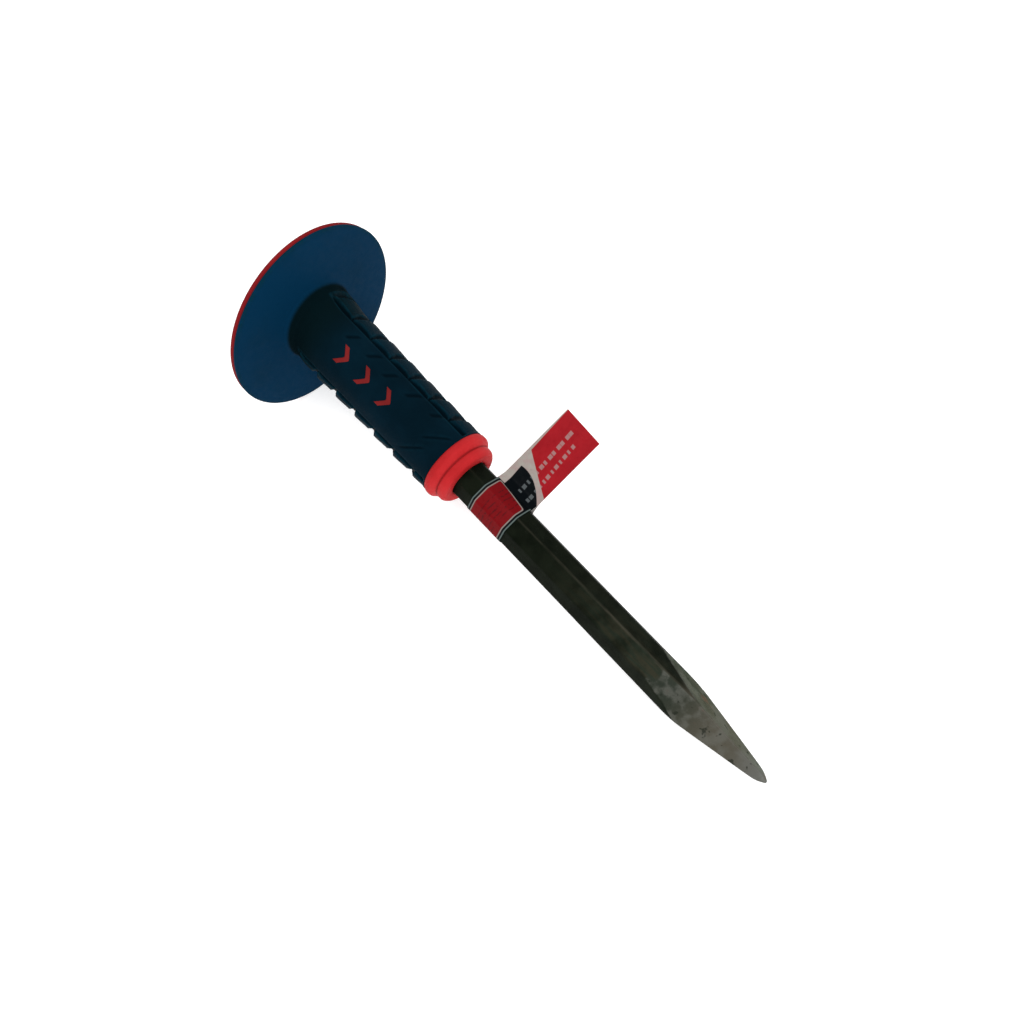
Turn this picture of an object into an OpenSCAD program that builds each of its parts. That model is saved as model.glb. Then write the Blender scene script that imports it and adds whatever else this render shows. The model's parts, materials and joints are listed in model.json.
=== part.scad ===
// Pointed cold chisel with a two-shot moulded grip and guard, and a wrap-around label.
//
// Every piece is drawn about the tool's own axis: local z = 0 is the striking face, local +Z
// runs to the tip, and local +X is the side that faces up when the tool lies on a bench.
// lay_down() then puts it at rest: the guard's rim and the heel of the ground point touch
// z = 0, +X runs towards the tip, and the origin is the middle of the footprint.

/* [Bar] */
// Overall length, from the striking face to the tip
bar_length = 305; // [260:5:400]
// Width of the octagonal shank across its flats
across_flats = 18; // [17:0.5:20]
// How far the shank's corners are rounded back
corner_round = 0.14; // [0.05:0.01:0.3]
// Turn of the shank's facets about its axis
facet_turn = 26; // [0:1:44]
// Diameter of the turned striking head
head_d = 17; // [14:0.5:17]
// Length of the turned striking head
head_length = 11; // [8:0.5:13]
// Chamfer round the striking face
head_chamfer = 2.2; // [1:0.1:3]

/* [Point] */
// Half-angle of each of the four ground faces
point_half_angle = 7.3; // [6.5:0.1:9]
// Distance from the axis to a ground face, carried on to the tip
point_half_width = 1.6; // [1:0.1:2.2]
// Half-angle of the blunted nose
nose_half_angle = 36; // [30:1:45]
// Radius that rounds the very tip
nose_radius = 0.9; // [0.5:0.1:1.2]

/* [Guard] */
// Distance from the striking face to the back of the guard
guard_setback = 15; // [14:0.5:25]
// Diameter of the guard
guard_d = 94.4; // [80:0.2:110]
// Thickness of the backing disc
backing_thickness = 2.8; // [2:0.1:4]
// Thickness of the cover at the guard's rim
rim_thickness = 1.4; // [1:0.1:3]
// Rise of the guard's face from its rim to the neck
face_rise = 3.2; // [1:0.1:6]
// Radius of the fillet between the guard and the grip
neck_fillet = 4; // [2:0.5:6]

/* [Grip] */
// Distance from the striking face to the end of the cover
cover_end = 120.3; // [110:0.1:140]
// Diameter of the grip beside the guard
grip_d_guard = 37; // [34:0.1:42]
// Diameter of the grip beside the collar
grip_d_collar = 34.6; // [32:0.1:40]
// Diameter of the inner sleeve
sleeve_d = 27; // [24:0.5:29]
// Depth of the tread grooves
tread_depth = 1.3; // [0.5:0.1:2]
// Width of the tread grooves
tread_width = 1.6; // [1:0.1:2.5]
// Spacing of the tread grooves along the grip
tread_pitch = 13.6; // [10:0.1:16]
// Slant of the tread grooves
tread_slant = 34; // [10:1:45]

/* [Collar] */
// Diameter of the collar's large bead
large_bead_d = 35.4; // [34:0.1:40]
// Width of the large bead
large_bead_width = 5.2; // [4:0.1:7]
// Diameter of the collar's small bead
small_bead_d = 30.6; // [26:0.1:34]
// Width of the small bead
small_bead_width = 5.4; // [4:0.1:7]

/* [Marks] */
// Direction that the marked panel faces, turned from the top of the tool
panel_turn = 29; // [0:1:60]
// Distance from the striking face to the first mark
first_mark = 55.5; // [50:0.5:65]
// Spacing of the marks
mark_pitch = 14.2; // [12:0.1:15]
// Size of a mark across the panel
mark_span = 9; // [6:0.5:11]
// Stroke width of a mark
mark_stroke = 2; // [1.2:0.1:3]
// How far the marks stand proud of the cover
mark_height = 0.4; // [0.2:0.1:0.8]

/* [Label] */
// Distance from the striking face to the label
label_setback = 140.5; // [135:0.5:180]
// Width of the label along the bar
label_width = 21; // [15:0.1:30]
// Thickness of one ply of the label
label_ply = 0.25; // [0.2:0.05:0.5]
// Length of the two-ply flag beyond the bar
flag_length = 42; // [20:1:45]
// Direction of the flag, turned from the top of the tool
flag_turn = -62; // [-80:1:-40]
// How far the flag is out of square with the bar, towards the head
flag_skew = 0.5; // [0:0.5:8]

/* [Hidden] */
$fn = 96;

facet_step = 45;
corner_radius = across_flats / 2 / cos(facet_step / 2) - corner_round;
overcut = 1;
point_face_turn = 45;

// Guard and grip stations along the axis
backing_front = guard_setback + backing_thickness;
rim_front = backing_front + rim_thickness;
rim_round = rim_thickness / 2;
rim_radius = guard_d / 2 - rim_round;
face_top = rim_front + face_rise;
neck_radius = grip_d_guard / 2;
fillet_start = neck_radius + neck_fillet;
collar_start = cover_end;
bead_split = collar_start + large_bead_width;
collar_end = bead_split + small_bead_width;
groove_depth = 1;

// How far the backing disc's rim sits inside the cover's
backing_inset = 0.3;

// The flag starts inside the bar, so that it meets the wrap along its whole width
flag_root = 2;

// Heel of the point: the edge between two ground faces meets the shank here
heel_radius = across_flats / 2 / cos(facet_step - facet_turn);
heel_offset = (heel_radius * cos(point_face_turn) - point_half_width) / tan(point_half_angle);
heel_station = bar_length - heel_offset;

// Resting pose: one line touches the guard's round rim and the heel
rim_station = rim_front - rim_round;
contact_run = heel_station - rim_station;
contact_drop = rim_radius - heel_radius;
lean = atan2(contact_drop, contact_run) + asin(rim_round / norm([contact_run, contact_drop]));
axis_height = heel_station * sin(lean) + heel_radius * cos(lean);
back_x = -(head_d / 2 - head_chamfer) * sin(lean);
front_x = (bar_length - nose_radius) * cos(lean) + nose_radius;
middle_x = (back_x + front_x) / 2;

// Points of an arc in the profile plane, where x is the radius and y the station
function arc(centre, radius, from, to, steps = 8) = [
    for (i = [0:steps])
        let (angle = from + (to - from) * i / steps)
        centre + radius * [cos(angle), sin(angle)]
];

module lay_down() {
    translate([-middle_x, 0, axis_height])
    rotate([0, 90 + lean, 0])
    rotate([0, 0, 180])
    children();
}

// Octagonal prism with its corners rounded back
module octagon(width, round_radius, from, to) {
    translate([0, 0, from])
    rotate([0, 0, facet_turn])
    intersection() {
        rotate([0, 0, facet_step / 2])
            cylinder(r = width / 2 / cos(facet_step / 2), h = to - from, $fn = 8);
        cylinder(r = round_radius, h = to - from);
    }
}

// Everything outside one ground face, for a face whose normal is local +X
module beyond_ground_face() {
    slab = 2 * across_flats;
    reach = bar_length / 2;
    translate([point_half_width, 0, bar_length])
    rotate([0, -point_half_angle, 0])
    translate([0, -slab / 2, -reach])
    cube([slab, slab, 2 * reach]);
}

// Room that the blunted nose leaves: a cone capped by a small sphere
module nose_envelope() {
    tangent_radius = nose_radius * cos(nose_half_angle);
    tangent_station = bar_length - nose_radius + nose_radius * sin(nose_half_angle);
    cone_length = (across_flats - tangent_radius) / tan(nose_half_angle);
    translate([0, 0, tangent_station - cone_length])
        cylinder(r1 = across_flats, r2 = tangent_radius, h = cone_length);
    translate([0, 0, bar_length - nose_radius])
        sphere(r = nose_radius);
    translate([0, 0, -overcut])
        cylinder(r = across_flats, h = tangent_station - cone_length + overcut);
}

module chisel_bar() {
    shoulder = corner_radius - head_d / 2;
    color([0.19, 0.20, 0.18])
    lay_down() {
        cylinder(r1 = head_d / 2 - head_chamfer, r2 = head_d / 2, h = head_chamfer);
        translate([0, 0, head_chamfer])
            cylinder(d = head_d, h = head_length - head_chamfer);
        intersection() {
            octagon(across_flats, corner_radius, head_length, bar_length);
            union() {
                translate([0, 0, head_length])
                    cylinder(r1 = head_d / 2, r2 = corner_radius, h = shoulder);
                translate([0, 0, head_length + shoulder])
                    cylinder(r = across_flats, h = bar_length);
            }
            nose_envelope();
            difference() {
                translate([0, 0, head_length])
                    cylinder(r = 2 * across_flats, h = bar_length);
                for (side = [0:3])
                    rotate([0, 0, point_face_turn + 90 * side])
                        beyond_ground_face();
            }
        }
    }
}

// One chevron of constant stroke, pointing along +Y, centred on the origin
module chevron() {
    half = mark_span / 2;
    lift = mark_stroke / 2 / cos(45);
    polygon([
        [-half, -half / 2 - lift],
        [0, half / 2 - lift],
        [half, -half / 2 - lift],
        [half, -half / 2 + lift],
        [0, half / 2 + lift],
        [-half, -half / 2 + lift]
    ]);
}

// The marks are posts that grow from the sleeve and show through the cover
module mark_posts() {
    post_root = sleeve_d / 2 - overcut;
    for (i = [0:2]) {
        station = first_mark + i * mark_pitch;
        blend = (station - face_top) / (cover_end - face_top);
        grip_radius = neck_radius + (grip_d_collar / 2 - neck_radius) * blend;
        rotate([0, 0, panel_turn])
        translate([post_root, 0, station])
        rotate([90, 0, 90])
        linear_extrude(height = grip_radius + mark_height - post_root)
            chevron();
    }
}

// Backing disc, sleeve and two-bead collar as one solid of revolution, with no bore
module core_body() {
    backing_round = backing_thickness / 2;
    large_round = large_bead_width / 2;
    small_round = small_bead_width / 2;
    rotate_extrude()
        polygon(concat(
            [[0, guard_setback]],
            arc([guard_d / 2 - backing_inset - backing_round, guard_setback + backing_round],
                backing_round, -90, 90),
            [[sleeve_d / 2, backing_front]],
            [[sleeve_d / 2, collar_start]],
            [[large_bead_d / 2 - large_round, collar_start]],
            arc([large_bead_d / 2 - large_round, collar_start + large_round],
                large_round, -60, 60),
            [[small_bead_d / 2 - groove_depth, bead_split]],
            arc([small_bead_d / 2 - small_round, bead_split + small_round],
                small_round, -45, 90),
            [[0, collar_end]]
        ));
    mark_posts();
}

module grip_core() {
    color([0.78, 0.13, 0.16])
    lay_down()
    difference() {
        core_body();
        octagon(across_flats, corner_radius, guard_setback - overcut, collar_end + overcut);
    }
}

// Slanted grooves that leave rows of tread pads all round, except on the marked panel
module tread_grooves() {
    rows = floor((cover_end - face_top - tread_pitch) / tread_pitch);
    groove_length = 17;
    groove_sink = 0.4;
    first_column_turn = panel_turn + 72;
    column_step = 54;
    for (column = [0:4]) {
        turn = first_column_turn + column_step * column;
        slant = column % 2 == 0 ? tread_slant : -tread_slant;
        for (row = [0:rows]) {
            station = face_top + neck_fillet + tread_pitch * (row + 0.5);
            rotate([0, 0, turn])
            translate([neck_radius - groove_sink, 0, station])
            rotate([slant, 0, 0])
            cube([2 * tread_depth, groove_length, tread_width], center = true);
        }
    }
}

module grip_cover() {
    color([0.06, 0.15, 0.26])
    lay_down()
    difference() {
        rotate_extrude()
            polygon(concat(
                [[0, backing_front]],
                [[rim_radius, backing_front]],
                arc([rim_radius, rim_station], rim_round, -90, 90),
                [[fillet_start, face_top]],
                arc([fillet_start, face_top + neck_fillet], neck_fillet, -90, -180),
                [[grip_d_collar / 2, cover_end]],
                [[0, cover_end]]
            ));
        core_body();
        tread_grooves();
    }
}

// Printed strip wrapped round the bar, its two ends stuck together as a flag
module wrap_label() {
    label_end = label_setback + label_width;
    color([0.70, 0.12, 0.15])
    lay_down()
    difference() {
        union() {
            octagon(across_flats + 2 * label_ply, corner_radius + label_ply,
                    label_setback, label_end);
            rotate([0, 0, flag_turn])
            translate([across_flats / 2, -label_ply, label_setback])
            rotate([0, flag_skew, 0])
            translate([-flag_root, 0, 0])
                cube([flag_length + flag_root, 2 * label_ply, label_width]);
        }
        octagon(across_flats, corner_radius, label_setback - overcut, label_end + overcut);
    }
}

chisel_bar();
grip_core();
grip_cover();
wrap_label();
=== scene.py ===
import json
import math

import bpy
import numpy as np
from mathutils import Matrix, Vector


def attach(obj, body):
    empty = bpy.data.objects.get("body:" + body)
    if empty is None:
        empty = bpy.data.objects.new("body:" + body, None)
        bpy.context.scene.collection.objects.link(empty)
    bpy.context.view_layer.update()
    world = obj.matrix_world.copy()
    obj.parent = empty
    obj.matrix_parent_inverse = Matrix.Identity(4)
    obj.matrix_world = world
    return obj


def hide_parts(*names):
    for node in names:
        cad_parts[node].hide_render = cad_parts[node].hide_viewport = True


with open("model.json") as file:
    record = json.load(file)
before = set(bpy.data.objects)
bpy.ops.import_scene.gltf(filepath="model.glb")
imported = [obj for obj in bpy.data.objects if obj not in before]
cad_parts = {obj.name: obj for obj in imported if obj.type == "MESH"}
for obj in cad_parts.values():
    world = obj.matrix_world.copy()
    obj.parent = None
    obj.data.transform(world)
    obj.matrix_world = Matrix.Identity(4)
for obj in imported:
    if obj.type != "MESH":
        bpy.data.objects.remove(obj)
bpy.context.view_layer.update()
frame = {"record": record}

MM = 0.001
FULL_TURN = 2 * math.pi

# Tool frame in the row frame
striking_face = {m["name"]: m for m in frame["record"]["mounts"]}["striking_face"]
HEAD = np.array(striking_face["pos_m"])
ALONG = -np.array(striking_face["axis"])
SIDE = np.array([0.0, -1.0, 0.0])
TOP = np.cross(SIDE, ALONG)

# Bar
BAR_LENGTH = 305.0
FLAT_RADIUS = 9.0
FACETS = 8
FACET_TURN = 26.0
FACET_STEP = 360.0 / FACETS
CORNER_SHARPNESS = 48
EDGE_WEAR_SHARPNESS = 15
RUBBED_CORNER_TURN = 3.5
HEAD_RADIUS = 8.5
HEAD_LENGTH = 11.0
HEAD_CHAMFER = 2.2
FACE_CROWN = 0.3
SHOULDER_END = HEAD_LENGTH + 1.5
SHANK_WAVE = 60
SHANK_UNEVENNESS = 0.05

# Ground point
GROUND_FACES = 4
FINE_ROWS_START = 234.0
NOSE_ROWS_START = 300.0
GROUND_TURN = 45.0
GROUND_HALF_WIDTH = 1.6
GROUND_SLOPE = math.tan(math.radians(7.3))
NOSE_RADIUS = 0.8
NOSE_HALF_ANGLE = math.radians(33)
NOSE_SOFTNESS = 6
TIP_OFFSET = 1.1
TIP_OFFSET_TURN = -68.0
TIP_OFFSET_REACH = 42.0

# Guard and grip
GUARD_BACK = 15.0
BACKING_FRONT = 17.8
BACKING_RADIUS = 46.9
RIM_RADIUS = 47.17
RIM_FRONT = 19.2
FACE_TOP = 22.4
NECK_RADIUS = 18.5
NECK_FILLET = 4.0
COVER_END = 120.3
COVER_END_RADIUS = 17.3
SLEEVE_RADIUS = 13.5
COLLAR_VALLEY = 126.25
COLLAR_END = 130.9
BORE_CLEARANCE = 0.12
BODY_START = FACE_TOP + NECK_FILLET + 4
COVER_COLUMNS = 320
COVER_ROW_STEP = 0.42
GRIP_WAVE = 45
GRIP_UNEVENNESS = 0.06

# The soft guard's set: it leans towards the tip on the side at this turn, and its rim bends forward
GUARD_LEAN = math.radians(8.5)
GUARD_LEAN_TURN = 128.0
GUARD_BEND = 2.3
FLOOR_SOFTNESS = 0.3

# Tread: swing is the angle from the middle of the marked panel, first over the top of the tool
PANEL_TURN = 29.0
PANEL_EDGES = (48.0, 308.0)
TREAD_COLUMNS = 5
TREAD_PITCH = 13.4
TREAD_START = 31.0
TREAD_DEPTH = 1.75
FIRST_PHASE = 55.8
LAST_PHASE = 52.4
FIRST_SLANT = 0.13
LAST_SLANT = 0.33
SLANT_REACH = 25.0
PAD_SINK = 0.25
PAD_FALL = 0.86
PAD_FALL_LENGTH = 0.10
COLUMN_GROOVE = 0.95
NOTCH_DEPTH = 0.34
# Share of painted shade that the notches get in the rubber's colour
NOTCH_DARKNESS = 0.75
PAD_EDGE_RISE = 0.18

# Marks
MARKS = 3
FIRST_MARK = 55.5
MARK_PITCH = 14.2
MARK_SPAN = 9.0
MARK_STROKE = 2.0
MARK_HEIGHT = 0.38
MARK_SHOULDER = 0.45
MARK_TIP_ROUNDING = 0.4
MARK_ROOT_DEPTH = 1.2

# Label
LABEL_START = 140.5
LABEL_WIDTH = 21.0
LABEL_PLY = 0.24
PLY_GAP = 0.03
WRAP_GAP = 0.05
FLAG_TURN = -62.0
FLAG_END = 50.4
FLAG_PINCH = 13.0
FLAG_SKEW = math.radians(-0.8)
FLAG_END_SLANT = 1.3
FLAG_FREE_START = FLAT_RADIUS + 1.0

# Camera
CAMERA_AZIMUTH = math.radians(47.06)
CAMERA_ELEVATION = math.radians(58.27)
CAMERA_LENS = 31.64
CAMERA_SENSOR = 36.0
CAMERA_DISTANCE = 0.389
AIM_STATION = 155.2
AIM_RIGHT = 2.33
AIM_UP = 2.25

# Stage: each light's name, place and width in metres, and power in watts
FLOOR_REACH = 40.0
FLOOR_GLOW = 0.45
WORLD_STRENGTH = 0.72
LIGHT_TARGET = Vector((0.0, 0.0, 0.02))
LIGHTS = (
    ("key_light", Vector((1.5, -0.5, 0.9)), 0.9, 18),
    ("top_light", Vector((-0.2, -0.4, 1.9)), 1.6, 21),
    ("fill_light", Vector((0.6, 1.5, 1.0)), 1.2, 4),
)


# Shapes ------------------------------------------------------------------------------------------

def to_row(points):
    """Points (x, y, station) of the tool frame, in mm, as row-frame points in metres."""
    return HEAD + MM * points @ np.array([TOP, SIDE, ALONG])


def polar(radius, turn, station):
    """Tool-frame points at these radii and turns (degrees); the arrays may broadcast."""
    angle = np.radians(turn)
    parts = np.broadcast_arrays(radius * np.cos(angle), radius * np.sin(angle), station)
    return np.stack(parts, axis=-1).astype(float)


def heading(turn):
    """Unit vector (x, y) of the tool frame at this turn."""
    return np.array([math.cos(math.radians(turn)), math.sin(math.radians(turn))])


def smooth_step(low, high, value):
    """0 at low and 1 at high, level beyond them and smooth between; low may be the larger."""
    share = np.clip((value - low) / (high - low), 0, 1)
    return share * share * (3 - 2 * share)


def ripple(seed, turn, station, wave, count=5):
    """Slow seeded unevenness between about -1 and 1, with that wavelength in mm along the tool."""
    source = np.random.RandomState(seed)
    total = 0
    for _ in range(count):
        lobes = source.randint(1, 5)
        length = wave * source.uniform(0.7, 1.6)
        shift, lag = source.uniform(0, FULL_TURN, 2)
        around = np.cos(lobes * np.radians(turn) + shift)
        total = total + around * np.cos(FULL_TURN * station / length + lag)
    return total / count


def grid_faces(rows, columns, wrap_rows, wrap_columns):
    """Quads of a grid of points, as rows of four point numbers."""
    row = np.arange(rows if wrap_rows else rows - 1)[:, None]
    column = np.arange(columns if wrap_columns else columns - 1)[None, :]
    next_row = (row + 1) % rows
    next_column = (column + 1) % columns
    corners = np.broadcast_arrays(
        row * columns + column,
        row * columns + next_column,
        next_row * columns + next_column,
        next_row * columns + column,
    )
    return np.stack(corners, axis=-1).reshape(-1, 4).tolist()


def ring_shell(points, values, closed_loop):
    """Closed shell of rings of points: a loop of rings, or rings between two end points."""
    rows, columns = points.shape[:2]
    faces = grid_faces(rows, columns, closed_loop, True)
    flat = points.reshape(-1, 3)
    values = {name: np.broadcast_to(v, (rows, columns)).reshape(-1) for name, v in values.items()}
    if not closed_loop:
        for ring, turn_order in ((0, -1), (rows - 1, 1)):
            centre = len(flat)
            first = ring * columns
            flat = np.vstack([flat, flat[first:first + columns].mean(axis=0)])
            values = {n: np.append(v, v[first:first + columns].mean()) for n, v in values.items()}
            around = range(columns)[::turn_order]
            for i, column in enumerate(around):
                beside = around[(i + 1) % columns]
                faces.append([first + column, first + beside, centre])
    return flat, faces, values


def sheet_shell(front, back, values):
    """Closed shell between two grids of points of the same size, joined round their borders."""
    rows, columns = front.shape[:2]
    count = rows * columns
    faces = grid_faces(rows, columns, False, False)
    faces += [[count + i for i in reversed(face)] for face in faces]
    number = np.arange(count).reshape(rows, columns)
    border = np.concatenate([
        number[0, :-1], number[:-1, -1], number[-1, :0:-1], number[:0:-1, 0],
    ]).tolist()
    for i, start in enumerate(border):
        end = border[(i + 1) % len(border)]
        faces.append([end, start, count + start, count + end])
    flat = np.vstack([front.reshape(-1, 3), back.reshape(-1, 3)])
    values = {n: np.concatenate([a.reshape(-1), b.reshape(-1)]) for n, (a, b) in values.items()}
    return flat, faces, values


def faces_outward(points, faces):
    """True if the closed shell's faces look outward, from the sign of its volume."""
    volume = 0.0
    for corners in (3, 4):
        chosen = np.array([f for f in faces if len(f) == corners])
        if len(chosen) == 0:
            continue
        for k in range(1, corners - 1):
            a, b, c = points[chosen[:, 0]], points[chosen[:, k]], points[chosen[:, k + 1]]
            volume += np.einsum("ij,ij->i", a, np.cross(b, c)).sum()
    return volume > 0


def make_piece(name, shell, material, node, sharp_angle=None):
    """One object made of a closed shell, in the place of a CAD node."""
    points, faces, values = shell
    placed = to_row(points)
    if not faces_outward(placed, faces):
        faces = [face[::-1] for face in faces]
    mesh = bpy.data.meshes.new(name)
    mesh.from_pydata(placed.tolist(), [], faces)
    mesh.update()
    for key, value in {**values, "tool": points}.items():
        kind = "FLOAT_VECTOR" if value.ndim == 2 else "FLOAT"
        attribute = mesh.attributes.new(key, kind, "POINT")
        field = "vector" if kind == "FLOAT_VECTOR" else "value"
        attribute.data.foreach_set(field, value.astype(np.float32).ravel())
    mesh.shade_smooth()
    if sharp_angle is not None:
        mesh.set_sharp_from_angle(angle=math.radians(sharp_angle))
    piece = bpy.data.objects.new(name, mesh)
    bpy.context.scene.collection.objects.link(piece)
    mesh.materials.append(material)
    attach(piece, "root")
    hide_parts(node)


def rounded(corners, steps=6):
    """Polyline through corners (radius, station, rounding), each rounded by an arc."""
    line = []
    for i, (radius, station, rounding) in enumerate(corners):
        corner = np.array([radius, station])
        if rounding == 0 or i in (0, len(corners) - 1):
            line.append(corner)
            continue
        back = np.array(corners[i - 1][:2]) - corner
        ahead = np.array(corners[i + 1][:2]) - corner
        back_length, ahead_length = np.linalg.norm(back), np.linalg.norm(ahead)
        back, ahead = back / back_length, ahead / ahead_length
        half = math.acos(np.clip(back @ ahead, -1, 1)) / 2
        reach = min(rounding / math.tan(half), 0.49 * back_length, 0.49 * ahead_length)
        bisector = (back + ahead) / np.linalg.norm(back + ahead)
        centre = corner + bisector * reach / math.cos(half)
        start, end = corner + back * reach - centre, corner + ahead * reach - centre
        sweep = math.pi - 2 * half
        for k in range(steps + 1):
            share = k / steps
            low, high = math.sin((1 - share) * sweep), math.sin(share * sweep)
            line.append(centre + (start * low + end * high) / math.sin(sweep))
    return np.array(line)


def fill_in(line, longest):
    """The polyline with points added so that no step is longer than that."""
    filled = [line[0]]
    for start, end in zip(line[:-1], line[1:]):
        steps = max(1, math.ceil(np.linalg.norm(end - start) / longest))
        filled += [start + (end - start) * k / steps for k in range(1, steps + 1)]
    return np.array(filled)


# Bar ---------------------------------------------------------------------------------------------

def plane_terms(turn, station, sharpness):
    """Share of each of the 8 facets, then of the 4 ground faces, in one over the radius."""
    turn, station = np.broadcast_arrays(turn, station)
    ground_width = GROUND_HALF_WIDTH + GROUND_SLOPE * (BAR_LENGTH - station)
    terms = []
    for k in range(FACETS):
        facing = np.cos(np.radians(turn - FACET_TURN - FACET_STEP * k)).clip(0)
        terms.append((facing / FLAT_RADIUS) ** sharpness)
    for k in range(GROUND_FACES):
        facing = np.cos(np.radians(turn - GROUND_TURN - 360.0 / GROUND_FACES * k)).clip(0)
        terms.append((facing / ground_width) ** sharpness)
    return np.array(terms)


def shank_radius(turn, station):
    """Radius of the bar's facets and ground faces, without the head and the nose."""
    return plane_terms(turn, station, CORNER_SHARPNESS).sum(axis=0) ** (-1 / CORNER_SHARPNESS)


def nose_limit(station):
    """Radius of the blunted nose: a cone that ends in a small sphere."""
    from_tip = BAR_LENGTH - station
    touch = NOSE_RADIUS * (1 - math.sin(NOSE_HALF_ANGLE))
    apex = NOSE_RADIUS / math.sin(NOSE_HALF_ANGLE) - NOSE_RADIUS
    cone = (from_tip + apex) * math.tan(NOSE_HALF_ANGLE)
    ball = np.sqrt(np.maximum(NOSE_RADIUS ** 2 - (NOSE_RADIUS - from_tip) ** 2, 1e-6))
    return np.where(from_tip < touch, ball, cone)


def bar_rows():
    """Stations of the bar's rings and the largest radius of each, as two columns."""
    head = fill_in(rounded([
        (0.4, 0, 0),
        (HEAD_RADIUS - HEAD_CHAMFER, FACE_CROWN, 0.5),
        (HEAD_RADIUS, FACE_CROWN + HEAD_CHAMFER, 0.8),
        (HEAD_RADIUS, HEAD_LENGTH, 0.4),
        (HEAD_RADIUS + 1.5, SHOULDER_END, 0.3),
        (HEAD_RADIUS + 1.9, SHOULDER_END + 0.5, 0),
    ]), 1.2)
    shank = np.arange(SHOULDER_END + 1, FINE_ROWS_START, 2.0)
    point = np.arange(FINE_ROWS_START, NOSE_ROWS_START, 0.8)
    nose = BAR_LENGTH - (BAR_LENGTH - NOSE_ROWS_START) * np.linspace(1, 0, 26)[:-1] ** 2
    free = np.concatenate([shank, point, nose])
    station = np.concatenate([head[:, 1], free])
    limit = np.concatenate([head[:, 0], nose_limit(free)])
    return station[:, None], limit[:, None]


def bar_wear(turn, station, on_shank):
    """The bar's wear: how rubbed its edges are, how far it is ground bare and where it is handled.

    All lie between 0 and 1, but ground goes above 1 on the faces of the point without lacquer."""
    soft_terms = plane_terms(turn, station, EDGE_WEAR_SHARPNESS)
    between_faces = 2 * (1 - soft_terms.max(axis=0) / soft_terms.sum(axis=0))
    most_rubbed = np.cos(np.radians(turn - RUBBED_CORNER_TURN)).clip(0) ** 8
    edge = np.clip(between_faces, 0, 1) * on_shank * (0.45 + 0.55 * most_rubbed)
    chamfer_rub = np.exp(-((station - FACE_CROWN - HEAD_CHAMFER) / 0.6) ** 2)
    edge = np.maximum(edge, 0.9 * chamfer_rub)

    # Facets scraped bare towards the point, most of all the one at FACET_TURN
    above_ground_face = smooth_step(
        -0.1, 0.6, np.cos(np.radians(GROUND_FACES * (turn - GROUND_TURN))))
    scraped = 0.45 * above_ground_face * smooth_step(230, 258, station)
    main_facet = smooth_step(0.88, 0.95, np.cos(np.radians(turn - FACET_TURN)))
    towards_point = 0.40 * smooth_step(224, 246, station) + 0.50 * smooth_step(243, 257, station)
    scraped = np.maximum(scraped, main_facet * towards_point)

    # Ground faces: some lacquer is left at the start of one of them
    terms = plane_terms(turn, station, CORNER_SHARPNESS)
    ground_share = terms[FACETS:].sum(axis=0) / terms.sum(axis=0)
    coated = smooth_step(0.55, 0.75, np.cos(np.radians(turn - GROUND_TURN)))
    ground_share = ground_share * (1 - 0.5 * coated * (1 - smooth_step(246, 262, station)))
    ground_share = ground_share * (1 + 0.15 * (1 - coated))
    struck = 0.62 * (1 - smooth_step(0.15, 0.45, station))
    ground = np.maximum(ground_share + scraped * (1 - ground_share), struck)
    return {"edge": edge, "ground": ground, "handled": 0.3 + 0.7 * main_facet}


def bar_shell():
    """The forged bar, from the crowned striking face to the blunt nose."""
    turn = np.arange(360)[None, :]
    station, limit = bar_rows()
    softness = np.where(station < SHOULDER_END + 1, CORNER_SHARPNESS, NOSE_SOFTNESS)
    planes = shank_radius(turn, station)
    radius = (limit ** -softness + planes ** -softness) ** (-1 / softness)
    on_shank = smooth_step(SHOULDER_END, SHOULDER_END + 8, station)
    before_tip = smooth_step(BAR_LENGTH, BAR_LENGTH - 12, station)
    uneven = 1 + ripple(3, turn, station, SHANK_WAVE)
    radius = radius - SHANK_UNEVENNESS * on_shank * before_tip * uneven
    shift = TIP_OFFSET * np.maximum(0, 1 - (BAR_LENGTH - station) / TIP_OFFSET_REACH)
    points = polar(radius, turn, station) + polar(shift, TIP_OFFSET_TURN, 0)
    return ring_shell(points, bar_wear(turn, station, on_shank), closed_loop=False)


# Grip --------------------------------------------------------------------------------------------

def guard_set(points):
    """Lean and bend of the soft guard, faded out towards the bar and along the grip."""
    station = points[..., 2]
    radius = np.hypot(points[..., 0], points[..., 1])
    share = smooth_step(11, 20, radius) * (1 - smooth_step(24, 38, station))
    towards = heading(GUARD_LEAN_TURN)
    across = points[..., :2] @ towards
    height = station - BACKING_FRONT
    angle = GUARD_LEAN * share
    shift = across * (np.cos(angle) - 1) - height * np.sin(angle)
    bend = GUARD_BEND * smooth_step(NECK_RADIUS, RIM_RADIUS, radius)
    moved = points.copy()
    moved[..., :2] += shift[..., None] * towards
    moved[..., 2] += height * (np.cos(angle) - 1) + across * np.sin(angle) + bend * share
    return off_floor(moved)


def off_floor(points):
    """The points, with what is under the surface that the tool lies on pressed up smoothly."""
    level = HEAD[2] / MM + points @ np.array([TOP[2], SIDE[2], ALONG[2]])
    lifted = (level + np.hypot(level, FLOOR_SOFTNESS)) / 2
    points[..., 0] += (lifted - level) / TOP[2]
    return points


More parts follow.
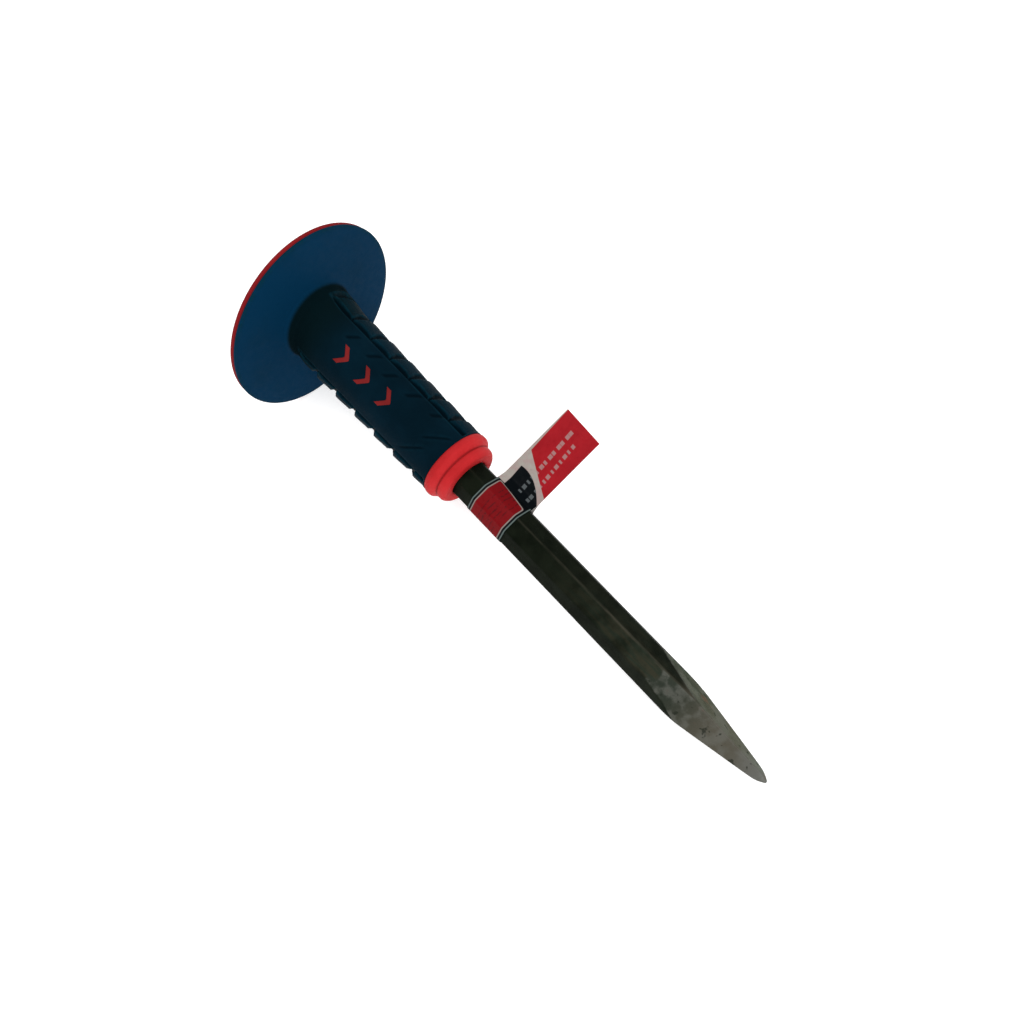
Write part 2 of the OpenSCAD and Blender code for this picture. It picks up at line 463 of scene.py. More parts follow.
def core_shell():
    """Backing disc, sleeve and collar, with a bore that follows the bar's facets."""
    turn = np.arange(0, 360, 1.25)[None, :]
    outer = rounded([
        (9.9, GUARD_BACK, 0),
        (BACKING_RADIUS, GUARD_BACK, 1.3),
        (BACKING_RADIUS, BACKING_FRONT, 1.3),
        (SLEEVE_RADIUS, BACKING_FRONT, 0),
        (SLEEVE_RADIUS, COVER_END, 0),
        (17.0, COVER_END, 0.35),
        (17.55, 121.3, 1.6),
        (17.6, 123.6, 1.8),
        (15.9, 125.5, 1.4),
        (14.7, COLLAR_VALLEY, 0.5),
        (15.35, 127.0, 0.9),
        (15.2, 129.2, 1.9),
        (13.6, COLLAR_END, 1.6),
        (9.9, COLLAR_END, 0.4),
    ], steps=7)
    outer = fill_in(outer, 2.0)
    bore = np.array([[FLAT_RADIUS, COLLAR_END - 0.5], [FLAT_RADIUS, GUARD_BACK + 0.5]])
    profile = np.vstack([outer, bore])
    station = profile[:, 1:]
    in_bore = np.arange(len(profile))[:, None] >= len(outer)
    bore_radius = shank_radius(turn, station) + BORE_CLEARANCE
    radius = np.where(in_bore, bore_radius, profile[:, :1])
    # Backing disc marked for painted shade: the red material paints it darker, as the shade on the
    # disc where it faces away from the light
    backing = 1 - smooth_step(BACKING_FRONT, BACKING_FRONT + 3, station)
    # Painted shade in the valley between the collar's beads, carried as the groove value
    valley = 0.7 * np.exp(-((station - COLLAR_VALLEY) / 0.5) ** 2)
    points = guard_set(polar(radius, turn, station))
    values = {"groove": valley, "edge": 0.0, "guard": backing, "neck": 0.0}
    return ring_shell(points, values, closed_loop=True)


def shingles(swing, station):
    """Depth below the grip's round of the tread's columns of overlapping pads, 0 to 1."""
    first, last = PANEL_EDGES
    column_width = (last - first) / TREAD_COLUMNS
    across = (swing - first) / column_width
    column = np.clip(np.floor(across), 0, TREAD_COLUMNS - 1)
    place = across - column
    share = column / (TREAD_COLUMNS - 1)
    phase = FIRST_PHASE + (LAST_PHASE - FIRST_PHASE) * share + TREAD_PITCH / 2 * (column % 2)
    slant = FIRST_SLANT + (LAST_SLANT - FIRST_SLANT) * share
    slanted = SLANT_REACH * (1 - np.exp(-place * column_width / SLANT_REACH))
    run = (station - phase - slant * slanted) / TREAD_PITCH
    along = run - np.floor(run)
    from_panel = np.minimum(swing - first, last - swing) / column_width

    # A pad sinks slowly along its length, falls off at its end and is followed by the next one's rise
    fall = PAD_FALL - 0.15 * smooth_step(0.1, 0.45, from_panel)
    fallen = smooth_step(fall, fall + PAD_FALL_LENGTH, along)
    gap = PAD_SINK * smooth_step(0.10, 0.75, along) + (1 - PAD_SINK) * fallen
    gap = np.maximum(gap, 1 - smooth_step(0.01, 0.05, along))

    # The groove between two columns is widest halfway along a pad
    widest = np.where(from_panel < 0.5, 0.16, 0.10)
    half_width = 0.012 + widest * np.sin(math.pi * along) ** 0.7
    valley = 1 - smooth_step(0.7 * half_width, half_width, np.minimum(place, 1 - place))
    return np.maximum(gap, COLUMN_GROOVE * valley)


def panel_notches(swing, station):
    """Shallow slanted notches on the marked panel, as depth from 0 to 1."""
    # Swing and station of each notch's middle, half its span, its slant and half its width
    notches = (
        (29, 51.3, 10, 0.25, 1.5),
        (32, 65.0, 11, 0.25, 1.5),
        (29, 77.0, 10.5, 0.25, 1.5),
        (33.5, 91.2, 11.5, 0.25, 1.5),
        (40, 105.6, 12, 0.25, 1.5),
        (14, 113.0, 17, 0.34, 1.0),
        (-24, 107, 18, 0.34, 1.0),
    )
    depth = 0
    for middle, middle_station, half, slant, width in notches:
        across = (swing - middle) / half
        line = middle_station + slant * (swing - middle)
        fade = 1 - smooth_step(0.55, 1.1, np.abs(across))
        depth = np.maximum(depth, fade * np.exp(-((station - line) / width) ** 2))
    return depth


def tread(turn, station):
    """Depth of all that is cut into the grip's round, in mm, its painted shade, and where pads are."""
    swing = (PANEL_TURN - turn) % 360
    first, last = PANEL_EDGES
    inside = smooth_step(first - 3.0, first - 0.5, swing)
    inside = inside * (1 - smooth_step(last + 0.5, last + 3.0, swing))
    start = TREAD_START + 3.0 * np.sin(np.radians(4 * swing))
    begin = smooth_step(start - 1.5, start + 1.5, station)
    end = 1 - smooth_step(COVER_END - 1.8, COVER_END - 0.6, station)
    padded = inside * begin * end
    cut = padded * shingles(swing, station)
    notch = panel_notches((swing + 180) % 360 - 180, station)
    depth = TREAD_DEPTH * cut + NOTCH_DEPTH * notch
    return depth, np.maximum(cut, NOTCH_DARKNESS * notch), padded


def spread(field, times):
    """The field smoothed by averaging neighbours, round the ring and along it."""
    for _ in range(times):
        field = (np.roll(field, 1, 1) + np.roll(field, -1, 1) + 2 * field) / 4
        padded = np.pad(field, ((1, 1), (0, 0)), mode="edge")
        field = (padded[:-2] + padded[2:] + 2 * field) / 4
    return field


def grip_radius(station):
    """Radius of the grip's round, which tapers from the neck to the collar."""
    share = (station - FACE_TOP) / (COVER_END - FACE_TOP)
    return NECK_RADIUS + (COVER_END_RADIUS - NECK_RADIUS) * share


def cover_shell():
    """Navy moulding over the core: guard face, neck and the grip's body with its tread."""
    turn = (np.arange(COVER_COLUMNS) * 360 / COVER_COLUMNS)[None, :]
    rim_round = (RIM_FRONT - BACKING_FRONT) / 2
    fillet_foot = NECK_RADIUS + NECK_FILLET
    outside = rounded([
        (SLEEVE_RADIUS - 0.2, BACKING_FRONT, 0),
        (RIM_RADIUS, BACKING_FRONT, rim_round * 0.98),
        (RIM_RADIUS, RIM_FRONT, rim_round * 0.98),
        (fillet_foot + 2, FACE_TOP - 0.2, 6),
        (NECK_RADIUS + 0.6, FACE_TOP + 0.6, 2.6),
        (NECK_RADIUS, FACE_TOP + NECK_FILLET + 1, 3),
        (NECK_RADIUS - 0.05, BODY_START, 0),
    ], steps=8)
    rows = np.arange(BODY_START + COVER_ROW_STEP, COVER_END - 0.5, COVER_ROW_STEP)
    body = np.stack([grip_radius(rows), rows], axis=1)
    collar_side = rounded([
        (body[-1, 0], body[-1, 1], 0),
        (COVER_END_RADIUS, COVER_END, 0.35),
        (SLEEVE_RADIUS - 0.2, COVER_END, 0),
    ], steps=4)
    profile = np.vstack([fill_in(outside, 1.6), body, collar_side[1:]])
    station = profile[:, 1:]
    on_body = smooth_step(FACE_TOP + 3.0, FACE_TOP + 5.5, station)
    depth, groove, padded = [on_body * field for field in tread(turn, station)]
    proud = np.clip((spread(depth, 5) - depth) / PAD_EDGE_RISE, 0, 1)
    rim = smooth_step(RIM_RADIUS - 1.2, RIM_RADIUS - 0.3, profile[:, :1])
    edge = np.maximum(np.maximum(proud, rim), 0.45 * padded * (1 - groove))
    # Guard face marked so that the navy material paints it paler: partly painted light where the face
    # turns to the light, partly its own paler tone beside the handled grip
    is_guard = 1 - smooth_step(FACE_TOP + 0.3, FACE_TOP + 2.2, station)
    radius = profile[:, :1] - depth
    radius = radius - GRIP_UNEVENNESS * on_body * (1 + ripple(11, turn, station, GRIP_WAVE))
    # Painted shade: the grip is painted darker next to the guard, where the guard shades it
    neck = (1 - is_guard) * (1 - smooth_step(FACE_TOP + 10, FACE_TOP + 32, station))
    points = guard_set(polar(radius, turn, station))
    values = {"groove": groove, "edge": edge, "guard": is_guard, "neck": neck}
    return ring_shell(points, values, closed_loop=True)


def mark_shell(number):
    """One raised chevron of constant stroke with rounded shoulders, wrapped on the grip."""
    middle = FIRST_MARK + MARK_PITCH * number
    base = grip_radius(middle)
    half = MARK_SPAN / 2
    lift = MARK_STROKE / 2 / math.cos(math.radians(45))
    across = half * np.sin(np.linspace(-math.pi / 2, math.pi / 2, 41))[None, :]
    down = np.sin(np.linspace(-math.pi / 2, math.pi / 2, 15))[:, None]
    crest = half / 2 - np.hypot(across, MARK_TIP_ROUNDING) + 0.1
    station = middle + crest + lift * down
    rise = np.minimum(half - np.abs(across), (1 - np.abs(down)) * lift) / MARK_SHOULDER
    rise = np.clip(rise, 0, 1)
    top = base + MARK_HEIGHT * np.sqrt(1 - (1 - rise) ** 2) - 0.05
    turn = PANEL_TURN - np.degrees(across / base)
    front = polar(top, turn, station)
    back = polar(np.full(top.shape, base - MARK_ROOT_DEPTH), turn, station)
    plain = np.zeros(top.shape)
    names = ("groove", "edge", "guard", "neck")
    return sheet_shell(front, back, {name: (plain, plain) for name in names})


# Label -------------------------------------------------------------------------------------------

def strip_path():
    """Middle line of the label's strip across the tool: out along one ply, round the bar and back.

    Returns points (x, y), the way outward at each, and the distance along the strip, which is 0
    where the strip meets the bar and negative out along the ply that faces up."""
    flag = heading(FLAG_TURN)
    beside = heading(FLAG_TURN + 90)
    half = LABEL_PLY / 2
    wrap = np.arange(FLAG_TURN + 17, FLAG_TURN + 341, 0.75)
    radius = shank_radius(wrap, np.full(wrap.shape, LABEL_START)) + WRAP_GAP + half
    ring = polar(radius, wrap, 0)[:, :2]
    out = np.arange(FLAG_END, FLAG_PINCH, -0.5)[:, None] * flag
    apart = half + PLY_GAP / 2
    near = out + apart * beside
    far = (out - apart * beside)[::-1]
    line = np.vstack([near, ring, far])
    dense = fill_in(line, 0.35)
    for _ in range(10):
        dense[1:-1] = (dense[:-2] + 2 * dense[1:-1] + dense[2:]) / 4
    steps = np.linalg.norm(np.diff(dense, axis=0), axis=1)
    travel = np.concatenate([[0], np.cumsum(steps)])
    root = travel[np.argmin(np.linalg.norm(dense - ring[0], axis=1))]
    along = np.gradient(dense, axis=0)
    along = along / np.linalg.norm(along, axis=1)[:, None]
    outward = np.stack([along[:, 1], -along[:, 0]], axis=1)
    return dense, outward, travel - root


def label_shell():
    """The printed strip: a band round the bar and a flag of two plies, a little twisted and curled."""
    path, outward, travel = strip_path()
    flag = heading(FLAG_TURN)
    beside = heading(FLAG_TURN + 90)
    width = np.linspace(0, LABEL_WIDTH, 43)[:, None]
    reach = np.maximum(path @ flag - FLAG_FREE_START, 0)[None, :]
    share = reach / (FLAG_END - FLAG_FREE_START)
    twist = 0.03 * (width - LABEL_WIDTH / 2) * share ** 1.3
    curl = 0.9 * share ** 2 * np.sin(FULL_TURN * 0.4 * share + 0.4)
    slant = FLAG_END_SLANT * (1 - width / LABEL_WIDTH) * share
    station = LABEL_START + width - reach * math.sin(FLAG_SKEW)
    sides = []
    for side in (0.5, -0.5):
        line = path + side * LABEL_PLY * outward
        x = line[:, 0] + (twist + curl) * beside[0] + slant * flag[0]
        y = line[:, 1] + (twist + curl) * beside[1] + slant * flag[1]
        sides.append(np.stack([x, y, station], axis=-1))

    # The inner side is plain, but its border is printed so that the cut edge has the print's colour
    shape = station.shape
    border = np.zeros(shape)
    border[[0, -1], :] = 1
    border[:, [0, -1]] = 1
    values = {
        "travel": (np.broadcast_to(travel, shape),) * 2,
        "width": (np.broadcast_to(width, shape),) * 2,
        "printed": (np.ones(shape), border),
    }
    return sheet_shell(sides[0], sides[1], values)


# Materials ---------------------------------------------------------------------------------------

class Graph:
    """Small helper that builds one material's nodes."""

    # The Mix node has sockets for each kind of data; these are its share and its colours
    MIX_SHARE = 0
    MIX_FIRST = 6
    MIX_SECOND = 7
    MIX_RESULT = 2

    def __init__(self, name):
        self.material = bpy.data.materials.new(name)
        self.material.use_nodes = True
        self.nodes = self.material.node_tree.nodes
        self.links = self.material.node_tree.links
        self.shader = self.nodes["Principled BSDF"]

    def add(self, kind, inputs=(), **settings):
        node = self.nodes.new("ShaderNode" + kind)
        for key, value in settings.items():
            setattr(node, key, value)
        for key, value in dict(inputs).items():
            self.feed(node.inputs[key], value)
        return node

    def feed(self, socket, value):
        if isinstance(value, bpy.types.NodeSocket):
            self.links.new(value, socket)
        else:
            socket.default_value = value

    def value(self, name):
        return self.add("Attribute", attribute_name=name).outputs["Fac"]

    def tool(self):
        return self.add("Attribute", attribute_name="tool").outputs["Vector"]

    def math(self, operation, first, second=0.0):
        node = self.add("Math", operation=operation)
        self.feed(node.inputs[0], first)
        self.feed(node.inputs[1], second)
        return node.outputs[0]

    def product(self, first, *others):
        for other in others:
            first = self.math("MULTIPLY", first, other)
        return first

    def line(self, value, slope, start):
        """Slope times the value, plus the start."""
        return self.math("ADD", self.math("MULTIPLY", value, slope), start)

    def stretch(self, vector, scale):
        node = self.add("VectorMath", operation="MULTIPLY")
        self.feed(node.inputs[0], vector)
        node.inputs[1].default_value = scale
        return node.outputs[0]

    def noise(self, vector, scale, detail=3.0, roughness=0.5):
        inputs = {"Vector": vector, "Scale": scale, "Detail": detail, "Roughness": roughness}
        return self.add("TexNoise", inputs).outputs["Fac"]

    def step(self, value, low, high, bottom=0.0, top=1.0):
        inputs = {"Value": value, "From Min": low, "From Max": high, "To Min": bottom, "To Max": top}
        node = self.add("MapRange", inputs, interpolation_type="SMOOTHSTEP")
        return node.outputs["Result"]

    def below(self, value, limit):
        """1 where the value is under the limit, else 0, with a print's soft edge between."""
        return self.step(self.math("SUBTRACT", limit, value), -PRINT_FUZZ, PRINT_FUZZ)

    def between(self, value, low, high):
        return self.math("MULTIPLY", self.below(low, value), self.below(value, high))

    def blend(self, share, first, second, kind="MIX"):
        node = self.add("Mix", data_type="RGBA", blend_type=kind)
        self.feed(node.inputs[self.MIX_SHARE], share)
        self.feed(node.inputs[self.MIX_FIRST], first)
        self.feed(node.inputs[self.MIX_SECOND], second)
        return node.outputs[self.MIX_RESULT]

    def bump(self, height, distance_mm, normal=None):
        inputs = {"Height": height, "Distance": distance_mm * MM, "Strength": 1.0}
        if normal is not None:
            inputs["Normal"] = normal
        return self.add("Bump", inputs).outputs["Normal"]

    def finish(self, **inputs):
        names = {"colour": "Base Color", "roughness": "Roughness", "metallic": "Metallic",
                 "normal": "Normal", "specular": "Specular IOR Level",
                 "tint": "Specular Tint", "glow": "Emission Color",
                 "glow_strength": "Emission Strength"}
        for key, value in inputs.items():
            self.feed(self.shader.inputs[names[key]], value)
        return self.material


def colour(red, green, blue):
    return (red, green, blue, 1.0)


PRINT_FUZZ = 0.12
PRINT_RED = colour(0.255, 0.0070, 0.0115)
PRINT_DEEP_RED = colour(0.215, 0.0052, 0.0090)
PRINT_NAVY = colour(0.0008, 0.0018, 0.0026)
PRINT_PALE = colour(0.260, 0.240, 0.215)
PRINT_PINK = colour(0.260, 0.200, 0.188)


def steel_material():
    """Olive-black lacquer over forged steel, worn along the edges and gone on the ground point."""
    g = Graph("lacquered_steel")
    tool = g.tool()
    station = g.add("SeparateXYZ", {0: tool}).outputs[2]
    ground = g.value("ground")
    streaks = g.noise(g.stretch(tool, (1, 1, 0.12)), 0.55, 5.0, 0.6)
    blotches = g.noise(tool, 0.11, 4.0, 0.55)
    specks = g.noise(tool, 1.6, 3.0, 0.7)
    mottle = g.noise(tool, 0.13, 4.0, 0.55)
    scratches = g.noise(g.stretch(tool, (3.0, 3.0, 0.25)), 2.2, 3.0, 0.6)

    # Lacquer: black, browned by handling towards the point and rubbed along the edges
    black = g.blend(g.step(blotches, 0.35, 0.68),
                    colour(0.0021, 0.0031, 0.0018), colour(0.0046, 0.0062, 0.0037))
    brown = g.blend(g.step(streaks, 0.42, 0.60),
                    colour(0.0150, 0.0200, 0.0138), colour(0.0235, 0.0230, 0.0148))
    handled = g.product(g.step(station, 175, 255), g.step(blotches, 0.28, 0.60, 0.3),
                        g.value("handled"))
    rubbed = g.product(g.step(g.value("edge"), 0.45, 1.0), g.step(streaks, 0.36, 0.60, 0.25),
                       g.step(station, 130, 250, 0.15, 0.90))
    lacquer = g.blend(handled, black, brown)
    lacquer = g.blend(rubbed, lacquer, colour(0.0400, 0.0370, 0.0270))

    # Bare steel: brighter near the tip, on the struck face and on the uncoated ground faces
    near_tip = g.step(station, 253, 280)
    struck_face = g.step(g.math("SUBTRACT", 1.0, station), 0.2, 0.8)
    uncoated = g.step(ground, 1.02, 1.15, 0.0, 0.6)
    brightness = g.math("MAXIMUM", g.math("MAXIMUM", near_tip, struck_face), uncoated)
    dull = g.blend(g.step(mottle, 0.42, 0.58),
                   colour(0.0220, 0.0265, 0.0200), colour(0.0600, 0.0625, 0.0530))
    bright = g.blend(g.step(mottle, 0.40, 0.62),
                     colour(0.0630, 0.0580, 0.0440), colour(0.0820, 0.0800, 0.0670))
    bare = g.blend(brightness, dull, bright)
    bare = g.blend(g.step(station, 284, 302, 0, 0.7), bare, colour(0.1060, 0.1080, 0.1010))
    rust = g.step(g.noise(g.stretch(tool, (1, 1, 0.6)), 0.16, 3.0, 0.6), 0.60, 0.74, 0, 0.5)
    bare = g.blend(rust, bare, colour(0.115, 0.052, 0.034))
    dark_spots = g.step(g.noise(tool, 0.33, 2.0, 0.5), 0.63, 0.71, 0, 0.8)
    bare = g.blend(dark_spots, bare, colour(0.0140, 0.0165, 0.0120))

    # The lacquer's border is ragged
    raggedness = g.product(g.math("SUBTRACT", mottle, 0.5), 1.1)
    exposed = g.step(g.math("ADD", ground, raggedness), 0.36, 0.70)
    surface = g.blend(exposed, lacquer, bare)
    scratched = g.step(scratches, 0.62, 0.8, 0, 0.2)
    surface = g.blend(scratched, surface, colour(0.0600, 0.0600, 0.0500))
    relief = g.math("ADD", g.math("MULTIPLY", specks, 0.5), blotches)
    normal = g.bump(scratches, 0.03, g.bump(relief, 0.16))
    return g.finish(
        colour=surface,
        roughness=g.step(streaks, 0.2, 0.8, 0.42, 0.62),
        metallic=g.math("MULTIPLY", exposed, 0.35),
        normal=normal,
        specular=0.03,
        tint=colour(0.55, 0.68, 0.46),
    )


def rubber_material(name, deep, plain, guard, neck, worn, dust, gloss, shine):
    """Moulded rubber: fine grain, painted shade in its grooves and rubbed pale along its edges."""
    g = Graph(name)
    tool = g.tool()
    cloud = g.noise(tool, 0.045, 4.0, 0.55)
    grain = g.noise(tool, 5.5, 2.0, 0.6)
    smear = g.noise(g.stretch(tool, (1, 1, 0.35)), 0.35, 5.0, 0.65)
    base = g.blend(g.step(cloud, 0.3, 0.7), deep, plain)
    # Painted shade at the neck, next to the guard
    base = g.blend(g.value("neck"), base, neck)
    # The guard colour paints light and shade: a paler navy on the guard face, painted shade on the red
    # backing disc
    base = g.blend(g.value("guard"), base, guard)
    base = g.blend(g.step(cloud, 0.5, 0.75, 0, 0.2), base, dust)
    # Painted shade: grooves, notches and the collar's valley are painted darker
    sunk = g.step(g.value("groove"), 0.15, 0.85, 0, 0.75)
    base = g.blend(sunk, base, colour(*(0.35 * part for part in deep[:3])))
    rubbed = g.math("MULTIPLY", g.value("edge"), g.step(smear, 0.35, 0.65, 0.2, 0.8))
    base = g.blend(rubbed, base, worn)
    base = g.blend(g.step(smear, 0.62, 0.82, 0, 0.3), base, dust)
    roughness = g.step(smear, 0.25, 0.75, 0.52, 0.72)
    normal = g.bump(cloud, 0.5, g.bump(grain, 0.05))
    return g.finish(colour=base, roughness=roughness, normal=normal, specular=shine, tint=gloss)


def film_material():
    """Printed label: red field, navy ground and pale sweep, with plain bars where words would be."""
    g = Graph("printed_label")
    tool = g.tool()
    travel = g.value("travel")
    width = g.value("width")
    out = g.product(travel, -1.0)
    beyond = g.math("SUBTRACT", travel, 52.5)
    red = g.blend(g.step(g.noise(tool, 0.12, 4.0, 0.6), 0.3, 0.7), PRINT_RED, PRINT_DEEP_RED)

    printed = g.blend(g.below(0.8, out), band_print(g, travel, out, width, red),
                      upper_ply_print(g, out, width, red))
    printed = g.blend(g.below(0.0, beyond), printed, lower_ply_print(g, beyond, red))
    plain_film = colour(0.55, 0.53, 0.50)
    surface = g.blend(g.step(g.value("printed"), 0.45, 0.55), plain_film, printed)
    scuff = g.noise(tool, 0.9, 5.0, 0.7)
    surface = g.blend(g.step(scuff, 0.56, 0.78, 0, 0.6), surface, colour(0.62, 0.55, 0.55), "MULTIPLY")
    return g.finish(
        colour=surface,
        roughness=g.step(scuff, 0.3, 0.7, 0.34, 0.5),
        normal=g.bump(g.noise(tool, 0.22, 3.0, 0.5), 0.35),
        specular=0.03,
    )


def upper_ply_print(g, out, width, red):
    """Ply that faces up: navy by the root, a pale sweep, then red to the end, with rows of bars."""
    fold = g.math("DIVIDE", g.math("SUBTRACT", width, 6.0), 15.0)
    navy_end = g.line(g.product(fold, fold), -7.8, 11.8)
    navy_top = g.math("MAXIMUM", g.line(out, -0.08, 4.1), 3.2)
    on_navy = g.product(g.below(out, navy_end), g.below(navy_top, width))
    red_start = g.line(width, -0.54, 19.8)
    margin = g.line(out, -0.048, 2.3)
    on_red = g.product(g.below(red_start, out), g.below(margin, width))
    sweep = g.step(g.noise(g.tool(), 0.35, 4.0, 0.6), 0.35, 0.65)
    ply = g.blend(sweep, PRINT_PALE, PRINT_PINK)
    ply = g.blend(on_navy, ply, PRINT_NAVY)
    ply = g.blend(on_red, ply, red)
    rows = bars(g, out, width)
    ply = g.blend(g.product(rows, on_red), ply, colour(0.250, 0.120, 0.118))
    return g.blend(g.product(rows, on_navy), ply, colour(0.060, 0.068, 0.072))


def band_print(g, travel, out, width, red):
    """Band round the bar: navy ground with pale hairlines, and a red panel with fine lines."""
    edge_distance = g.math("MINIMUM", width, g.math("SUBTRACT", LABEL_WIDTH, width))
    hairline = g.between(edge_distance, 0.25, 0.8)
    band = g.blend(hairline, PRINT_NAVY, colour(0.080, 0.105, 0.098))
    inside_end = g.math("SUBTRACT", g.line(width, -0.17, 0.4), out)
    inside_edge = g.math("SUBTRACT", edge_distance, 2.3)
    inside = g.math("SMOOTH_MIN", inside_end, inside_edge)
    inside.node.inputs[2].default_value = 1.6
    panel = g.product(g.step(inside, -0.05, 0.2), g.below(travel, 45.0))
    outline = g.product(g.between(inside, -0.55, 0.0), g.below(travel, 45.5), g.below(out, 3.0))
    panel_base = g.blend(0.80, red, colour(0.100, 0.0020, 0.0030))
    panel_red = g.blend(panel_lines(g, width), panel_base, colour(0.060, 0.0030, 0.0045))
    band = g.blend(outline, band, colour(0.190, 0.150, 0.135))
    return g.blend(panel, band, panel_red)


def lower_ply_print(g, beyond, red):
    """Ply that faces down: plain pale film with a navy line and a red end."""
    ply = g.blend(g.below(30.0, beyond), PRINT_PALE, red)
    return g.blend(g.between(beyond, 28.2, 29.2), ply, PRINT_NAVY)


def bars(g, out, width):
    """Two rows of plain dashes of mixed lengths along the flag, in place of words."""
    # Each row's place across the strip, slant, start and end, half height, and lag of its dashes
    layout = (
        (11.3, -0.068, 2.0, 36.8, 0.95, 0.0),
        (16.8, -0.092, 2.0, 33.5, 0.90, 1.7),
    )
    rows = 0.0
    for middle, slant, start, end, half, lag in layout:
        offset = g.math("ABSOLUTE", g.math("SUBTRACT", width, g.line(out, slant, middle)))
        quick = g.math("SINE", g.line(out, 2.3, lag))
        slow = g.math("SINE", g.line(out, 1.1, 1.0 + lag))
        wave = g.math("ADD", quick, g.math("MULTIPLY", slow, 0.8))
        row = g.product(g.below(offset, half), g.step(wave, -0.45, -0.05), g.between(out, start, end))
        rows = g.math("MAXIMUM", rows, row)
    return rows


def panel_lines(g, width):
    """Faint fine lines across the red panel, broken and a little wavy."""
    tool = g.tool()
    waver = g.product(g.math("SUBTRACT", g.noise(tool, 0.3, 2.0, 0.5), 0.5), 1.6)
    place = g.math("ADD", width, waver)
    half = 0.28
    lines = 0.0
    for middle in (6.6, 8.9, 11.2, 13.5, 15.6):
        lines = g.math("MAXIMUM", lines, g.between(place, middle - half, middle + half))
    broken = g.step(g.noise(tool, 0.55, 2.0, 0.5), 0.42, 0.54, 0.0, 0.85)
    return g.product(lines, broken)


# Pieces ------------------------------------------------------------------------------------------

RED_GLOSS = colour(1.0, 0.45, 0.45)
# Painted shade: the marks are the core's red rubber, painted darker as they lie on the shaded side
MARK_SHADED_RED = colour(0.110, 0.0080, 0.0080)

steel = steel_material()
red_rubber = rubber_material(
    "red_rubber",
    deep=colour(0.285, 0.0090, 0.0105),
    plain=colour(0.400, 0.0170, 0.0200),
    # guard: painted shade, a darker copy of this red for the backing disc
    guard=colour(0.150, 0.0060, 0.0080),
    neck=colour(0.330, 0.0110, 0.0130),
    worn=colour(0.470, 0.0420, 0.0400),
    dust=colour(0.330, 0.0190, 0.0190),
    gloss=RED_GLOSS,
    shine=0.08,
)
# Painted shade: a darker copy of the red rubber for the marks
shaded_mark_rubber = rubber_material(
    "shaded_mark_rubber",
    deep=MARK_SHADED_RED,
    plain=colour(0.150, 0.0110, 0.0110),
    guard=MARK_SHADED_RED,
    neck=MARK_SHADED_RED,
    worn=colour(0.190, 0.0230, 0.0210),
    dust=colour(0.130, 0.0160, 0.0160),
    gloss=RED_GLOSS,
    shine=0.08,
)
navy_rubber = rubber_material(
    "navy_rubber",
    deep=colour(0.0010, 0.0054, 0.0096),
    plain=colour(0.0014, 0.0085, 0.0154),
    # guard: paler blue on the guard face, partly painted light, partly its own paler tone
    guard=colour(0.0011, 0.0187, 0.0465),
    # neck: painted shade on the grip next to the guard
    neck=colour(0.0013, 0.0052, 0.0066),
    worn=colour(0.0019, 0.0175, 0.0274),
    dust=colour(0.0016, 0.0122, 0.0200),
    gloss=colour(0.05, 0.50, 0.75),
    shine=0.02,
)
film = film_material()

make_piece("chisel_bar_forging", bar_shell(), steel, "chisel_bar")
make_piece("grip_core_moulding", core_shell(), red_rubber, "grip_core")
for number in range(MARKS):
    name = "grip_core_mark_%d" % (number + 1)
    make_piece(name, mark_shell(number), shaded_mark_rubber, "grip_core", sharp_angle=50)
make_piece("grip_cover_moulding", cover_shell(), navy_rubber, "grip_cover")
make_piece("wrap_label_strip", label_shell(), film, "wrap_label", sharp_angle=40)


# Stage -------------------------------------------------------------------------------------------

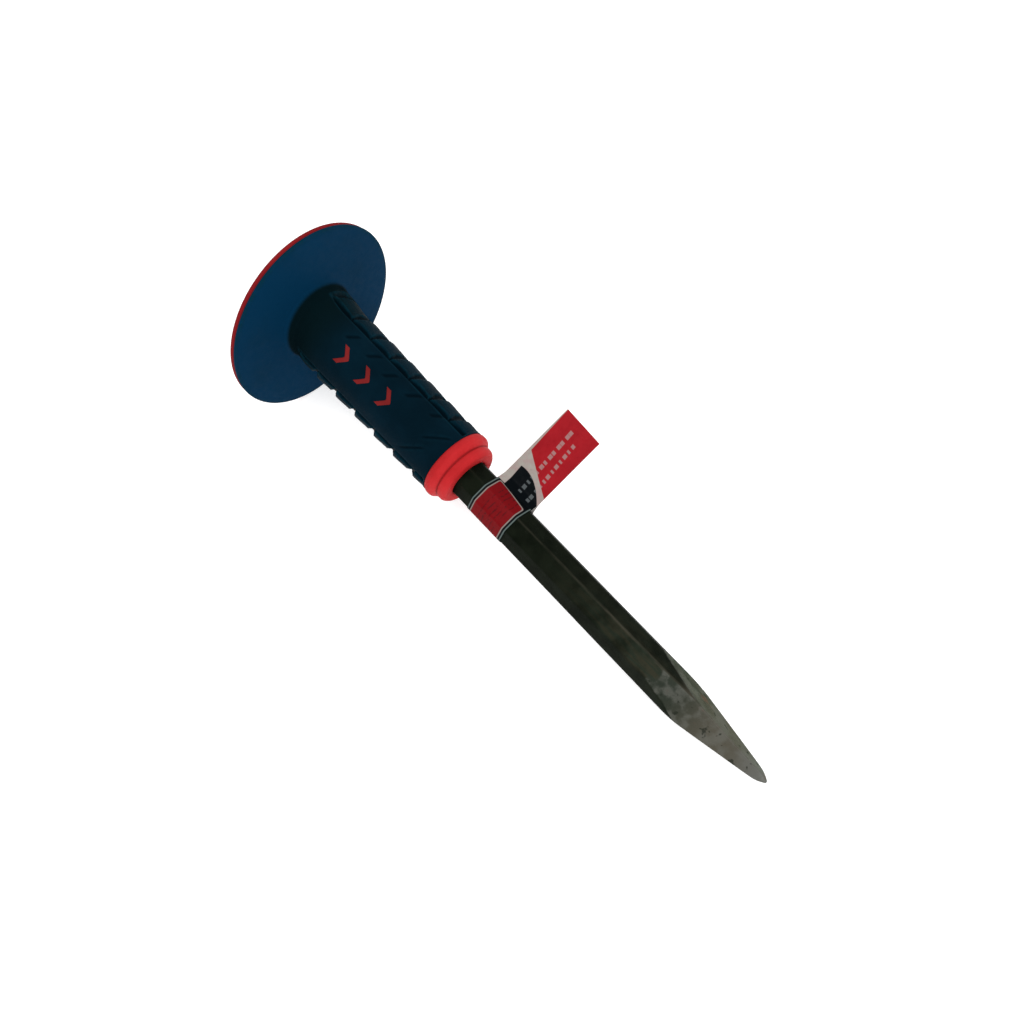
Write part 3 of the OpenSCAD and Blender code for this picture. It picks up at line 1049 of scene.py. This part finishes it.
def make_floor():
    """Plain pale floor with a little glow, which makes it white round the tool."""
    corners = [(-1, -1), (1, -1), (1, 1), (-1, 1)]
    mesh = bpy.data.meshes.new("floor")
    mesh.from_pydata([(FLOOR_REACH * x, FLOOR_REACH * y, 0) for x, y in corners], [], [(0, 1, 2, 3)])
    g = Graph("studio_floor")
    floor = bpy.data.objects.new("floor", mesh)
    bpy.context.scene.collection.objects.link(floor)
    mesh.materials.append(g.finish(
        colour=colour(0.80, 0.80, 0.80),
        roughness=0.9,
        specular=0.1,
        glow=colour(1.0, 1.0, 1.0),
        glow_strength=FLOOR_GLOW,
    ))


def make_light(name, place, size, power):
    """Round area light that faces the tool."""
    light = bpy.data.lights.new(name, "AREA")
    light.shape = "DISK"
    light.size = size
    light.energy = power
    lamp = bpy.data.objects.new(name, light)
    bpy.context.scene.collection.objects.link(lamp)
    lamp.location = place
    lamp.rotation_mode = "QUATERNION"
    lamp.rotation_quaternion = (LIGHT_TARGET - place).to_track_quat("-Z", "Y")


def make_camera():
    """Camera at the photo's angle, aimed a little to the side of the tool's axis."""
    level = math.cos(CAMERA_ELEVATION)
    back = Vector((math.sin(CAMERA_AZIMUTH) * level, -math.cos(CAMERA_AZIMUTH) * level,
                   math.sin(CAMERA_ELEVATION)))
    right = Vector((math.cos(CAMERA_AZIMUTH), math.sin(CAMERA_AZIMUTH), 0))
    up = back.cross(right)
    aim = Vector(to_row(np.array([0, 0, AIM_STATION]))) + MM * (AIM_RIGHT * right + AIM_UP * up)
    data = bpy.data.cameras.new("camera")
    data.lens = CAMERA_LENS
    data.sensor_width = CAMERA_SENSOR
    data.clip_start = 0.01
    camera = bpy.data.objects.new("camera", data)
    bpy.context.scene.collection.objects.link(camera)
    turned = Matrix((right, up, back)).transposed().to_4x4()
    camera.matrix_world = Matrix.Translation(aim + CAMERA_DISTANCE * back) @ turned
    bpy.context.scene.camera = camera


def make_world():
    """Even white surroundings."""
    world = bpy.data.worlds.new("studio")
    world.use_nodes = True
    background = world.node_tree.nodes["Background"]
    background.inputs["Color"].default_value = colour(1.0, 1.0, 1.0)
    background.inputs["Strength"].default_value = WORLD_STRENGTH
    bpy.context.scene.world = world
    bpy.context.scene.view_settings.view_transform = "Standard"


make_floor()
for light in LIGHTS:
    make_light(*light)
make_world()
make_camera()
